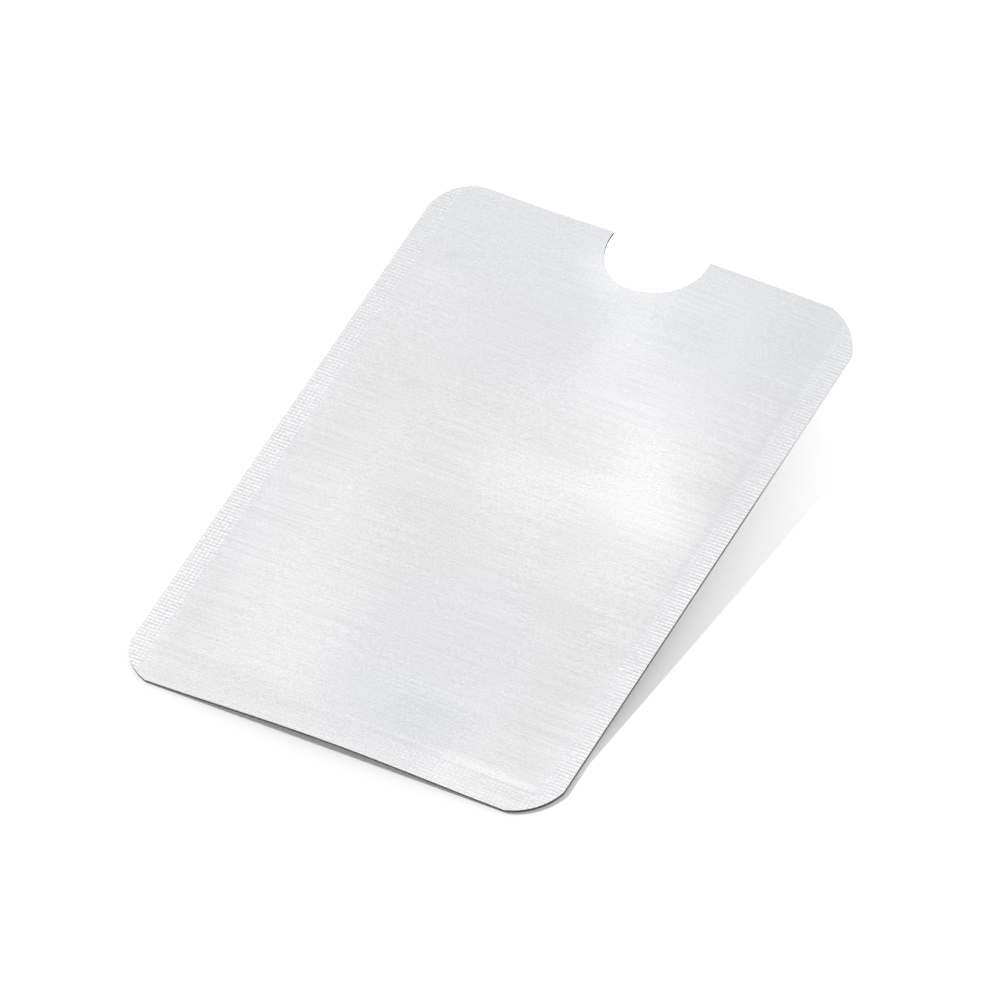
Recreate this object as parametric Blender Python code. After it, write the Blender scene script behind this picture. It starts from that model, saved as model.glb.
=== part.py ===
"""A flat shielding sleeve for one card: two laminate panels sealed along three edges.

The sleeve lies on its back panel with +Z up. X is its width, Y its length, and
its open mouth with the thumb notch is at +Y. Sizes are in metres. A value whose
name ends in share is a plain ratio, and one whose name ends in steps is a count.
"""

import math

import bmesh
import bpy
from mathutils import Vector

# Cut outline, the same for every layer
sleeve_width = 0.0630
sleeve_length = 0.0910
mouth_left_radius = 0.0062
mouth_right_radius = 0.0095
bottom_right_radius = 0.0082
bottom_left_radius = 0.0076
# A corner arc whose centre is set in by less than its radius meets the edges at a slight angle.
mouth_left_set_in_share = 1.0
mouth_right_set_in_share = 0.954
bottom_right_set_in_share = 0.963
bottom_left_set_in_share = 0.950
corner_steps = 9
notch_radius = 0.0072
notch_centre_inset = 0.0009
notch_offset = 0.0003
notch_steps = 26

# Layers of one panel, from the outside in, and the glue line between two layers
film_thickness = 0.00005
foil_thickness = 0.00002
liner_thickness = 0.00006
bond_gap = 0.000015

# Sealed bands, and the creases where the panels part to make the pocket
side_band_width = 0.0030
bottom_band_width = 0.0040
seal_thickness = 0.00003
seal_end_gap = 0.0003
crease_width = 0.0012
front_step = 0.00005
back_step = 0.00007

# Arch across the width, highest at the bottom edge and gone before the mouth
arch_rise = 0.00105
arch_length = 0.0600

# Ribs that the sealing jaws press into both outer films
rib_pitch = 0.00054
rib_height = 0.00005
rib_land = 0.00001
rib_margin = 0.0002

# Blanks reach this far past the cut outline
blank_overrun = 0.0020
panel_columns = 8
ribs_per_row = 13

# Sizes worked out from the ones above
half_width = sleeve_width / 2
half_length = sleeve_length / 2
pocket_half_width = half_width - side_band_width
pocket_bottom = bottom_band_width - half_length
panel_thickness = film_thickness + foil_thickness + liner_thickness + 2 * bond_gap
seam_gap = seal_thickness + 2 * bond_gap
stack_height = 2 * panel_thickness + seam_gap + arch_rise + front_step + back_step


def clear_scene():
    for item in list(bpy.data.objects):
        bpy.data.objects.remove(item, do_unlink=True)


def new_collection(name):
    collection = bpy.data.collections.new(name)
    bpy.context.scene.collection.children.link(collection)
    return collection


def new_material(name, colour, roughness, metallic):
    material = bpy.data.materials.new(name)
    material.use_nodes = True
    shader = material.node_tree.nodes["Principled BSDF"]
    shader.inputs["Base Color"].default_value = (*colour, 1.0)
    shader.inputs["Roughness"].default_value = roughness
    shader.inputs["Metallic"].default_value = metallic
    return material


def ease(share):
    """Runs smoothly from 0 to 1 while its argument does, and stays there outside."""
    held = min(max(share, 0.0), 1.0)
    return 0.5 - 0.5 * math.cos(math.pi * held)


def arch(x, y):
    """Height of the sleeve's gentle arch above the surface it lies on."""
    across = 1.0 - ease(abs(x) / half_width)
    along = 1.0 - ease((y + half_length) / arch_length)
    return arch_rise * across * along


def pocket_share(x, y):
    """0 on the sealed bands, 1 where the panels are fully apart."""
    from_side = min(max((pocket_half_width - abs(x)) / crease_width, 0.0), 1.0)
    from_bottom = min(max((y - pocket_bottom) / crease_width, 0.0), 1.0)
    return min(from_side, from_bottom)


def back_face(x, y):
    """Outer face of the back panel."""
    return arch(x, y) + back_step * (1.0 - pocket_share(x, y))


def front_inner_face(x, y):
    """Inner face of the front panel."""
    seam_top = back_step + panel_thickness + seam_gap
    return arch(x, y) + seam_top + front_step * pocket_share(x, y)


def above(face, rise):
    """A face that lies higher than another by the same amount all over."""
    return lambda x, y: face(x, y) + rise


def spread(low, high, count):
    """Even places from low to high, with both ends."""
    return [low + (high - low) * step / count for step in range(count + 1)]


def panel_x_places():
    """Where a layer bends across the width: band edges, creases and even steps between."""
    crease_top = pocket_half_width - crease_width
    inner = spread(-crease_top, crease_top, panel_columns)
    outer = half_width + blank_overrun
    return [-outer, -pocket_half_width] + inner + [pocket_half_width, outer]


def valley_places():
    """The low lines between the ribs along the whole blank, even about its middle."""
    reach = half_length + blank_overrun / 2
    count = math.floor(2 * reach / rib_pitch)
    first = -count * rib_pitch / 2
    return [first + rib_pitch * step for step in range(count + 1)]


def panel_y_places():
    """Where a layer bends along the length: the bottom crease, then some of the valley lines."""
    outer = half_length + blank_overrun
    crease_top = pocket_bottom + crease_width
    rows = [y for y in valley_places()[::ribs_per_row] if crease_top + crease_width < y < half_length]
    return [-outer, pocket_bottom, crease_top] + rows + [outer]


def new_object(name, mesh, collection, material=None):
    item = bpy.data.objects.new(name, mesh)
    collection.objects.link(item)
    if material:
        mesh.materials.append(material)
    return item


def formed_slab(name, x_places, y_places, low_face, high_face):
    """A thin slab, scored at the given places and bent so its two sides follow two faces."""
    shape = bmesh.new()
    bmesh.ops.create_cube(shape, size=1.0)
    size = Vector((x_places[-1] - x_places[0], y_places[-1] - y_places[0], stack_height))
    middle = Vector((x_places[-1] + x_places[0], y_places[-1] + y_places[0], 0.0)) / 2
    bmesh.ops.scale(shape, vec=size, verts=shape.verts)
    bmesh.ops.translate(shape, vec=middle, verts=shape.verts)
    cuts = [(Vector((x, 0.0, 0.0)), Vector((1.0, 0.0, 0.0))) for x in x_places[1:-1]]
    cuts += [(Vector((0.0, y, 0.0)), Vector((0.0, 1.0, 0.0))) for y in y_places[1:-1]]
    for point, normal in cuts:
        everything = shape.verts[:] + shape.edges[:] + shape.faces[:]
        bmesh.ops.bisect_plane(shape, geom=everything, plane_co=point, plane_no=normal)
    # Every cell is split along the same diagonal, so that stacked layers bend alike.
    for cell in [face for face in shape.faces if abs(face.normal.z) > 0.5]:
        corners = sorted(cell.verts, key=lambda corner: corner.co.x + corner.co.y)
        bmesh.utils.face_split(cell, corners[0], corners[-1])
    for corner in shape.verts:
        face = high_face if corner.co.z > 0.0 else low_face
        corner.co.z = face(corner.co.x, corner.co.y)
    mesh = bpy.data.meshes.new(name)
    shape.to_mesh(mesh)
    shape.free()
    return mesh


def corner_arc(side, end, radius, set_in_share):
    """Points of one corner's arc; side and end are -1 or 1 and name the corner."""
    set_in = radius * set_in_share
    centre_x = side * (half_width - set_in)
    centre_y = end * (half_length - set_in)
    start = math.acos(set_in_share)
    turns = spread(start, math.pi / 2 - start, corner_steps)
    return [(centre_x + side * radius * math.cos(turn), centre_y + end * radius * math.sin(turn))
            for turn in turns]


def notch_arc():
    """Points of the thumb notch, from its right lip round to its left lip."""
    start = math.asin(notch_centre_inset / notch_radius)
    centre_y = half_length - notch_centre_inset
    turns = spread(start, -math.pi - start, notch_steps)
    return [(notch_offset + notch_radius * math.cos(turn), centre_y + notch_radius * math.sin(turn))
            for turn in turns]


def straight_run(start, end, x_places, y_places):
    """Points between two ends of a straight edge, where the layers' score lines cross it."""
    margin = rib_pitch / 4
    along_x = abs(end[0] - start[0]) > abs(end[1] - start[1])
    axis = 0 if along_x else 1
    low, high = sorted((start[axis], end[axis]))
    places = [place for place in (x_places if along_x else y_places) if low + margin < place < high - margin]
    if end[axis] < start[axis]:
        places = places[::-1]
    return [(place, start[1]) if along_x else (start[0], place) for place in places]


def sleeve_outline(x_places, y_places):
    """The cut outline, anticlockwise from the lower right corner."""
    curved = [
        corner_arc(1, -1, bottom_right_radius, bottom_right_set_in_share)[::-1],
        corner_arc(1, 1, mouth_right_radius, mouth_right_set_in_share),
        notch_arc(),
        corner_arc(-1, 1, mouth_left_radius, mouth_left_set_in_share)[::-1],
        corner_arc(-1, -1, bottom_left_radius, bottom_left_set_in_share),
    ]
    points = []
    for index, arc in enumerate(curved):
        following = curved[(index + 1) % len(curved)]
        points += arc + straight_run(arc[-1], following[0], x_places, y_places)
    return points


def make_die(name, y_places, collection):
    """The cutting die's inside: the outline stood up through all the layers."""
    points = sleeve_outline(panel_x_places(), y_places)
    curve = bpy.data.curves.new(name + "_outline", "CURVE")
    curve.dimensions = "2D"
    curve.fill_mode = "BOTH"
    curve.extrude = stack_height + blank_overrun
    spline = curve.splines.new("POLY")
    spline.points.add(len(points) - 1)
    for place, (x, y) in zip(spline.points, points):
        place.co = (x, y, 0.0, 1.0)
    spline.use_cyclic_u = True
    outline = new_object(name + "_outline", curve, collection)
    bpy.context.view_layer.update()
    depsgraph = bpy.context.evaluated_depsgraph_get()
    mesh = bpy.data.meshes.new_from_object(outline.evaluated_get(depsgraph))
    bpy.data.objects.remove(outline, do_unlink=True)
    shape = bmesh.new()
    shape.from_mesh(mesh)
    bmesh.ops.remove_doubles(shape, verts=shape.verts, dist=bond_gap)
    bmesh.ops.recalc_face_normals(shape, faces=shape.faces)
    shape.to_mesh(mesh)
    shape.free()
    die = new_object(name, mesh, collection)
    mark_as_cutter(die)
    return die


def mark_as_cutter(item):
    item.hide_render = True
    item.display_type = "WIRE"


def add_boolean(item, operation, other):
    modifier = item.modifiers.new(operation.lower() + "_" + other.name, "BOOLEAN")
    modifier.operation = operation
    modifier.solver = "EXACT"
    modifier.object = other


def rib_places(high):
    """Valleys and crests in turn, from past the bottom edge up to a given place."""
    valleys = [place for place in valley_places() if place < high]
    crests = [place + rib_pitch / 2 for place in valleys[:-1]]
    return sorted(valleys + crests)


def rib_strip(name, x_places, y_places, face, outward, collection):
    """A run of ribs across a band, rooted in the film and standing off its outer face."""
    first = y_places[0]

    def crests(x, y):
        on_crest = round((y - first) * 2 / rib_pitch) % 2
        return face(x, y) + outward * (rib_land + rib_height * on_crest)

    root = above(face, -outward * film_thickness / 2)
    faces = (root, crests) if outward > 0 else (crests, root)
    strip = new_object(name, formed_slab(name, x_places, y_places, *faces), collection)
    mark_as_cutter(strip)
    return strip


def make_ribs(prefix, face, outward, collection):
    """The ribs of one outer film: down both sides, and along the bottom between them."""
    side_places = rib_places(half_length + blank_overrun)
    inner = pocket_half_width + rib_margin
    outer = half_width + blank_overrun / 2
    crease_top = pocket_half_width - crease_width
    bottom_x_places = [-inner + 2 * rib_margin] + spread(-crease_top, crease_top, panel_columns)
    bottom_x_places += [inner - 2 * rib_margin]
    bottom_y_places = rib_places(pocket_bottom - rib_margin)
    return [
        rib_strip(prefix + "_left_ribs", [-outer, -inner], side_places, face, outward, collection),
        rib_strip(prefix + "_right_ribs", [inner, outer], side_places, face, outward, collection),
        rib_strip(prefix + "_bottom_ribs", bottom_x_places, bottom_y_places, face, outward, collection),
    ]


def make_layer(name, floor, thickness, material, die, collection, ribs=()):
    """One full layer of a panel, cut to the outline."""
    mesh = formed_slab(name, panel_x_places(), panel_y_places(), floor, above(floor, thickness))
    layer = new_object(name, mesh, collection, material)
    for strip in ribs:
        add_boolean(layer, "UNION", strip)
    add_boolean(layer, "INTERSECT", die)
    return layer


def make_seals(material, die, collection):
    """The three strips of fused liner that hold the panels together."""
    floor = above(back_face, panel_thickness + bond_gap)
    ceiling = above(floor, seal_thickness)
    outer = half_width + blank_overrun
    crease_top = pocket_half_width - crease_width
    bottom_end = pocket_half_width - seal_end_gap
    bottom_x_places = [-bottom_end] + spread(-crease_top, crease_top, panel_columns) + [bottom_end]
    runs = {
        "left_seal": ([-outer, -pocket_half_width], panel_y_places()),
        "right_seal": ([pocket_half_width, outer], panel_y_places()),
        "bottom_seal": (bottom_x_places, panel_y_places()[:2]),
    }
    for name, (x_places, y_places) in runs.items():
        mesh = formed_slab(name, x_places, y_places, floor, ceiling)
        seal = new_object(name, mesh, collection, material)
        add_boolean(seal, "INTERSECT", die)


def make_sleeve():
    clear_scene()
    parts = new_collection("shielding_card_sleeve")
    cutters = new_collection("cutters")
    silver = new_material("brushed_silver_film", (0.80, 0.81, 0.82), 0.36, 1.0)
    foil = new_material("shield_foil", (0.90, 0.90, 0.91), 0.22, 1.0)
    liner = new_material("grey_liner", (0.075, 0.077, 0.082), 0.55, 0.0)
    weld = new_material("fused_liner", (0.060, 0.062, 0.066), 0.45, 0.0)
    die = make_die("plain_die", panel_y_places(), cutters)
    film_die = make_die("film_die", valley_places(), cutters)

    back_foil_floor = above(back_face, film_thickness + bond_gap)
    back_liner_floor = above(back_foil_floor, foil_thickness + bond_gap)
    back_ribs = make_ribs("back", back_face, -1, cutters)
    make_layer("back_outer_film", back_face, film_thickness, silver, film_die, parts, back_ribs)
    make_layer("back_shield_foil", back_foil_floor, foil_thickness, foil, die, parts)
    make_layer("back_liner", back_liner_floor, liner_thickness, liner, die, parts)

    make_seals(weld, die, parts)

    front_foil_floor = above(front_inner_face, liner_thickness + bond_gap)
    front_film_floor = above(front_foil_floor, foil_thickness + bond_gap)
    front_ribs = make_ribs("front", above(front_film_floor, film_thickness), 1, cutters)
    make_layer("front_liner", front_inner_face, liner_thickness, liner, die, parts)
    make_layer("front_shield_foil", front_foil_floor, foil_thickness, foil, die, parts)
    make_layer("front_outer_film", front_film_floor, film_thickness, silver, film_die, parts, front_ribs)


make_sleeve()
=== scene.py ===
"""Looks of a flat shielding sleeve for one card: its films, its inner layers and a plain studio.

The file is laid out as an add-on and run as a script. Sizes are in metres unless a
comment says otherwise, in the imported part's own frame: +Z out of the front panel and
+Y towards the open mouth. A value whose name ends in share is a plain ratio.
"""

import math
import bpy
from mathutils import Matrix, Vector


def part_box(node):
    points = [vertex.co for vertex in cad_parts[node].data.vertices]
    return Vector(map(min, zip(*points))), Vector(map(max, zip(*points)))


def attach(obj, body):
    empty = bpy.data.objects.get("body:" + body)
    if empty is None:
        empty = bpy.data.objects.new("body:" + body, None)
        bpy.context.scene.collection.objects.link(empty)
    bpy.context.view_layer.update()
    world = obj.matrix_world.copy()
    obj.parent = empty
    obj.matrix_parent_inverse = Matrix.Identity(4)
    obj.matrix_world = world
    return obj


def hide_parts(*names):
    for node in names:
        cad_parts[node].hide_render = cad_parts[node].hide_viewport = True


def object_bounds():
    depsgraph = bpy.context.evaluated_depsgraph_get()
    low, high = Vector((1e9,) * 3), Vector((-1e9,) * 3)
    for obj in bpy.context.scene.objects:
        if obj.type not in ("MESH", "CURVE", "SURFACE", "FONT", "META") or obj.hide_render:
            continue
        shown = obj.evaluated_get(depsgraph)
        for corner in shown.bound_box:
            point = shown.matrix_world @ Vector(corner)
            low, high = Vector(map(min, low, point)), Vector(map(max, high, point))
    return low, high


bl_info = {
    "name": "Shielding Card Sleeve",
    "version": (1, 0, 0),
    "blender": (4, 5, 0),
    "location": "3D View > Sidebar > Sleeve",
    "description": "Models the brushed films of a flat card sleeve, finishes its layers and lights it",
    "category": "Object",
}

import bmesh
import bpy
from bpy.props import FloatProperty, FloatVectorProperty, IntProperty, PointerProperty
from mathutils import Euler, Matrix, Vector, noise

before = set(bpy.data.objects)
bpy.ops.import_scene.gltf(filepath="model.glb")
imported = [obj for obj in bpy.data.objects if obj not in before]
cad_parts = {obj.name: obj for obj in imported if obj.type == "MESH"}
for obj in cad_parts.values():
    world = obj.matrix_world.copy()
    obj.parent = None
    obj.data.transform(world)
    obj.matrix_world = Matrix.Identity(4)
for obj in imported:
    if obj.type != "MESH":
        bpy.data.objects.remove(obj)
cad_low, cad_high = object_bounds()

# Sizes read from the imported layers
front_low, front_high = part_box("front_outer_film")
back_low, back_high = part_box("back_outer_film")
half_width = (front_high.x - front_low.x) / 2
half_length = (front_high.y - front_low.y) / 2

# The pressed pattern's dots are three steps wide and long
steps_per_dot = 3
# How far each column and each row of a dot's steps is raised
column_shares = (0.0, 1.0, 0.6)
row_shares = (0.0, 1.0, 1.0)
# Steps of the fold between a side band and the pocket
crease_steps = 6
# Whole dots in one column of the panel, and the columns between the side folds
dots_per_column = 7
panel_columns = 13
millimetre = 0.001
micrometre = 0.000001
# A distance that is shorter than any step, for choosing parts by their place
tiny = 0.00001
# Facets of the tools that cut a corner and the notch, and their depth in sleeve thicknesses
corner_facets = 144
notch_facets = 180
cutter_depths = 4
# Edges that bend less than this are shaded smooth, and a face whose normal has less height is a cut edge
smooth_angle = math.radians(30.0)
upright_limit = 0.5

# Ends of the pressed pattern's fades: up the side bands, and across the bottom band
side_fade_ends = (-0.005, 0.030)
bottom_fade_ends = (0.002, 0.014)
# Where the sharp fold above the bottom band begins and where it has its full share, from the middle
sharp_fold_ends = (0.011, 0.020)
# Share of the right band's ribs that is left at the pocket
rib_inner_share = 0.35
# Pressure of the sealing jaws: mean, reach and steps per metre of its drift, its limits, and the dots' own
drift_mean = 0.90
drift_reach = 0.7
drift_steps = (250.0, 150.0)
drift_limits = (0.3, 1.2)
dot_least = 0.85
dot_reach = 0.3
# Seeds of the two films' pressed patterns
front_seed = 5
back_seed = 8

# Gentle swells and hollows of the front panel: across, along, half width and half length in
# millimetres, and height in micrometres
swells = (
    (6, -16, 45, 60, 57),
    (9, -18, 28, 28, -221),
    (15, 27, 28, 28, 304),
    (9, 51, 20, 28, 356),
    (-12, -30, 28, 20, -64),
    (-9, 9, 20, 28, 219),
    (24, 12, 20, 14, 50),
    (-18, 51, 14, 28, -195),
    (9, -3, 28, 14, -44),
    (15, -36, 28, 10, -35),
    (-9, -15, 10, 28, 144),
    (24, -15, 14, 28, -86),
    (3, 42, 7, 28, 244),
    (-21, 18, 14, 28, -98),
    (-24, -21, 14, 20, -37),
    (15, 6, 7, 14, -39),
    (9, 27, 10, 14, 86),
    (6, 3, 10, 28, 145),
    (-3, 0, 20, 10, -31),
    (-6, 47, 9, 11, 15),
    (-3, 44, 7, 10, 123),
    (21, -35, 7, 7, 22),
    (-24, 50, 7, 10, 35),
)

# Marks of handling on the front film: across, along, half length and half width in millimetres,
# and turn in degrees
smudges = (
    (-24.3, 33.5, 1.8, 1.4, 0),
    (-18.8, 12.2, 1.8, 1.5, 20),
)
pits = (
    (4.9, 34.1, 0.16, 0.12, 0),
    (-15.4, 3.9, 0.18, 0.12, 30),
    (-21.2, -36.1, 0.2, 0.12, 60),
    (26, -0.8, 0.14, 0.12, 0),
    (3.5, -4.8, 0.18, 0.1, 45),
    (-7.1, -15.8, 0.12, 0.12, 0),
)
scratches = (
    (-1.3, -2.5, 2.7, 0.07, -40),
    (-13.1, -2.7, 2.5, 0.06, -30),
    (-19.2, -11.8, 1.2, 0.06, -12),
    (-10, 44.9, 0.8, 0.1, -63),
)
# Faintly violet areas of the front film, and colder ones: the same five values
violet_patches = (
    (0, 60, 90, 52.5, 0),
    (6, -30, 16.5, 21, 0),
    (-29, -18, 7, 17, 0),
)
cold_patches = (
    (0, 64, 90, 39, -4),
    (6, -35.5, 9, 6, 0),
)
# Patches of painted shade, where the front film is painted a little darker: the same five values
painted_shade_patches = (
    (10, -36.5, 10.5, 6.5, 10),
    (-26.8, -31, 4.2, 19, 0),
    (-25, -43.2, 8, 3.6, 0),
    (25, 11.8, 6.5, 8.5, 0),
    (18.5, -14.2, 7, 3.8, 0),
)
# How soft the rims of the tinted areas are, as shares of their half widths
violet_softness = 0.25
cold_softness = 0.2
# Marks that change the film's brightness, the painted shade patches and the marks of handling: name, places,
# softness and change
film_marks = (
    ("painted_shade_patches", painted_shade_patches, 1.0, -0.05),
    ("smudges", smudges, 0.8, -0.045),
    ("pits", pits, 0.6, -0.30),
    ("scratches", scratches, 0.9, 0.10),
)

# Layers of the brushing, from long streaks to short ones: cells per metre and share
brushing_layers = (
    ((60.0, 4200.0, 60.0), 0.30),
    ((700.0, 4600.0, 700.0), 0.12),
    ((3600.0, 6500.0, 3600.0), 0.58),
)
mean_streak = 0.5
# Where the brushing starts to weaken towards the mouth and where it is weakest, and its depth there
brushing_fade = ((0.0, 0.040), (1.13, 0.84))
# Streaks that count as dark and bright, how bright they leave the film, and their reach in roughness
streak_ends = (0.3, 0.7)
streak_tones = (0.945, 1.055)
polish_reach = 0.02
bump_strength = 0.2
bump_height = 0.00001
# Places in the noise of the front film's, the back film's and the foil's brushing
front_shift = 0.0
back_shift = 3.0
foil_shift = 7.0

# Middle of a dot in its cell, across and along
dot_middle = (0.45, 0.5)
# Outer and inner rim of a dot and of a rib, in cells, and the painted glint at each, where below 0 is painted
# shade
dot_glint_profile = ((0.45, 0.18), (-0.4, 1.0))
rib_glint_profile = ((0.40, 0.10), (-0.5, 1.0))
# Painted glint of the right band's ribs at the pocket and at the outer edge, and how much its dots lose
rib_glint_shares = (0.1, 0.8)
dot_glint_loss = 0.5
# Painted glint that is left at the two ends of the pattern's fades
side_fade_glints = (1.0, 0.75)
bottom_fade_glints = (0.0, 0.65)
# Patches in the painted glints: per metre on each axis, detail, the noise's ends and the glint at them
glint_patches = (350.0, 220.0, 1.0)
glint_patch_detail = 2.0
glint_patch_fade = ((0.32, 0.65), (0.5, 1.1))
# Distances from a side band's inner edge, below 0 on the pocket, over which its tint and its painted shade
# rise
band_tint_ends = (-0.0035, -0.0005)
side_shade_ends = (-0.0130, -0.0030)
# Where the painted side shade weakens towards the mouth, and its shares at the two ends
side_shade_fade = ((-0.020, 0.010), (1.0, 0.55))
# Distances above the bottom band's top over which its painted shade rises, and where it ends on the right
bottom_shade_ends = (0.0030, -0.0005)
bottom_shade_fade = ((0.010, 0.018), (1.0, 0.0))

# Where the painted highlight on the right side's cut edge begins, across and along
highlight_across_ends = (0.020, 0.028)
highlight_along_ends = (0.006, 0.026)
# Reach of the notch's painted edge highlight in radii, and the height and half height of its dark pocket
# line, which is left without it
highlight_notch_reach = 1.15
pocket_line_height = 0.00029
pocket_line_half_height = 0.00014
# Roughness of the foil as a whole and of its streaks, and of the cut edges, the linings and the seals
foil_roughness = 0.22
foil_polish = (0.16, 0.30)
cut_edge_roughness = 0.6
lining_roughness = 0.55
seal_roughness = 0.45
# Mottle of the lining: cells per metre, detail and the shares of its colour
mottle_cells = 900.0
mottle_detail = 3.0
mottle_shares = (0.75, 1.25)

# Roughness of the floor, and where its near glow is full, in half lengths from the middle
floor_roughness = 0.9
near_glow_share = 0.75
white = (1.0, 1.0, 1.0, 1.0)
# Farthest distance that the camera sees
camera_reach = 100.0


def number_setting(name, description, default, **rest):
    """A number that a user can change, or a row of numbers where the default is one."""
    rest.update(name=name, description=description, default=default)
    if isinstance(default, tuple):
        return FloatVectorProperty(size=len(default), **rest)
    return FloatProperty(**rest)


def length_setting(name, description, default, **rest):
    return number_setting(name, description, default, unit="LENGTH", **rest)


def angle_setting(name, description, degrees):
    return number_setting(name, description, math.radians(degrees), unit="ROTATION", subtype="ANGLE")


def share_setting(name, description, default, subtype="FACTOR"):
    return number_setting(name, description, default, min=0.0, max=1.0, subtype=subtype)


def colour_setting(name, description, default):
    return share_setting(name, description, default, subtype="COLOR")


class SleeveShape(bpy.types.PropertyGroup):
    """Sizes of the sleeve's outline, panels and layers."""

    film_thickness: length_setting("Film thickness", "Thickness of one outer film", 0.00005, min=0.00001)
    side_band_width: length_setting("Side band width", "Width of the sealed band down each side", 0.0030)
    dots_across_band: IntProperty(
        name="Dots across a side band", description="Pressed dots across one side band",
        default=5, min=1)
    dots_along: IntProperty(
        name="Dots along the sleeve", description="Pressed dots from the bottom edge to the mouth",
        default=169, min=10)
    bottom_band_steps: IntProperty(
        name="Bottom band steps", description="Height of the bottom band in thirds of a dot",
        default=22, min=3)
    crease_width: length_setting(
        "Crease width", "Width of the fold from a side band up to the pocket", 0.0012)
    sharp_fold_width: length_setting(
        "Sharp fold width", "Width of the sharp fold above the bottom band, on the right", 0.0016)
    sharp_fold_share: share_setting(
        "Sharp fold share", "Share of the pocket's rise that the sharp fold takes", 0.17)
    soft_fold_width: length_setting(
        "Soft fold width", "Width over which the pocket rises above the bottom band", 0.025)
    swell_fade: length_setting(
        "Swell fade", "Distance from the bands over which the swells reach their height", 0.0030)
    foil_thickness: length_setting("Foil thickness", "Thickness of one shielding foil", 0.00002)
    lining_thickness: length_setting("Lining thickness", "Thickness of one inner lining", 0.00006)
    glue_line: length_setting("Glue line", "Distance between two layers of a panel", 0.000015)
    front_step: length_setting("Front step", "Rise of the front panel over its bands", 0.00005)
    back_step: length_setting("Back step", "Rise of the back panel's bands over the pocket", 0.00007)
    rib_heights: length_setting(
        "Rib heights", "Height of the ribs across the left, right and bottom bands",
        (0.000002, 0.000008, 0.000001))
    dot_heights: length_setting(
        "Dot heights", "Height of the dots on the left, right and bottom bands",
        (0.000010, 0.000007, 0.000005))
    top_fades: number_setting(
        "Top fades", "How much the left and right bands' pattern fades towards the mouth",
        (0.25, 0.35), min=0.0, max=1.0)
    arch_length: length_setting(
        "Arch length", "Distance from the bottom edge over which the arch fades", 0.0600)
    notch_radius: length_setting("Notch radius", "Radius of the thumb notch", 0.0072)
    notch_centre_inset: length_setting(
        "Notch centre inset", "Distance of the notch's centre from the mouth edge", 0.0009)
    notch_offset: length_setting(
        "Notch offset", "Distance of the notch's centre to the right of the middle", 0.0003)
    corner_radii: length_setting(
        "Corner radii", "Mouth left, mouth right, bottom right and bottom left",
        (0.0062, 0.0095, 0.0082, 0.0076))
    corner_set_in_shares: number_setting(
        "Corner set-in shares", "Distance of each arc's centre from the edges, in radii",
        (1.0, 0.954, 0.963, 0.950))


class SleeveFinish(bpy.types.PropertyGroup):
    """Colours and roughness of the sleeve's layers, and the painted light on their films and cut edges."""

    film_colour: colour_setting("Film colour", "Brushed silver of the outer films", (0.686, 0.688, 0.692))
    film_edge_colour: colour_setting(
        "Film edge colour", "Cooler silver along the side bands", (0.685, 0.687, 0.704))
    film_violet_colour: colour_setting(
        "Film violet colour", "Faintly violet silver, high up and low in the middle", (0.686, 0.688, 0.706))
    film_cold_colour: colour_setting(
        "Film cold colour", "Colder silver towards the mouth", (0.680, 0.688, 0.706))
    # Painted shade along the side bands and their folds, and along the bottom band and its fold except on the
    # right
    painted_fold_shade: number_setting(
        "Seal dullness", "How much darker heat has left the film's sides and bottom",
        (0.060, 0.080), min=0.0, max=1.0)
    # Painted glints on the pressed dots and ribs, with painted shade in the valleys between them
    painted_glint: share_setting(
        "Pressed shine", "How much brighter the pressed dots and ribs are than the film", 0.08)
    film_roughness: share_setting("Film roughness", "Mean roughness of the brushed film", 0.20)
    cut_edge_colour: colour_setting(
        "Cut edge colour", "Dull grey of the film's cut edge", (0.090, 0.091, 0.095))
    # Painted highlight: bright metal on the cut edges towards the mouth on the right and round the notch
    edge_highlight_colour: colour_setting(
        "Burnished colour", "Bright film smeared over the cut edge beside the mouth", (0.86, 0.86, 0.87))
    foil_colour: colour_setting("Foil colour", "Rolled foil under the film", (0.50, 0.50, 0.51))
    lining_colour: colour_setting(
        "Lining colour", "Dark grey lining that the card slides on", (0.060, 0.061, 0.065))
    seal_colour: colour_setting("Seal colour", "Lining melted together in the seals", (0.045, 0.046, 0.050))


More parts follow.
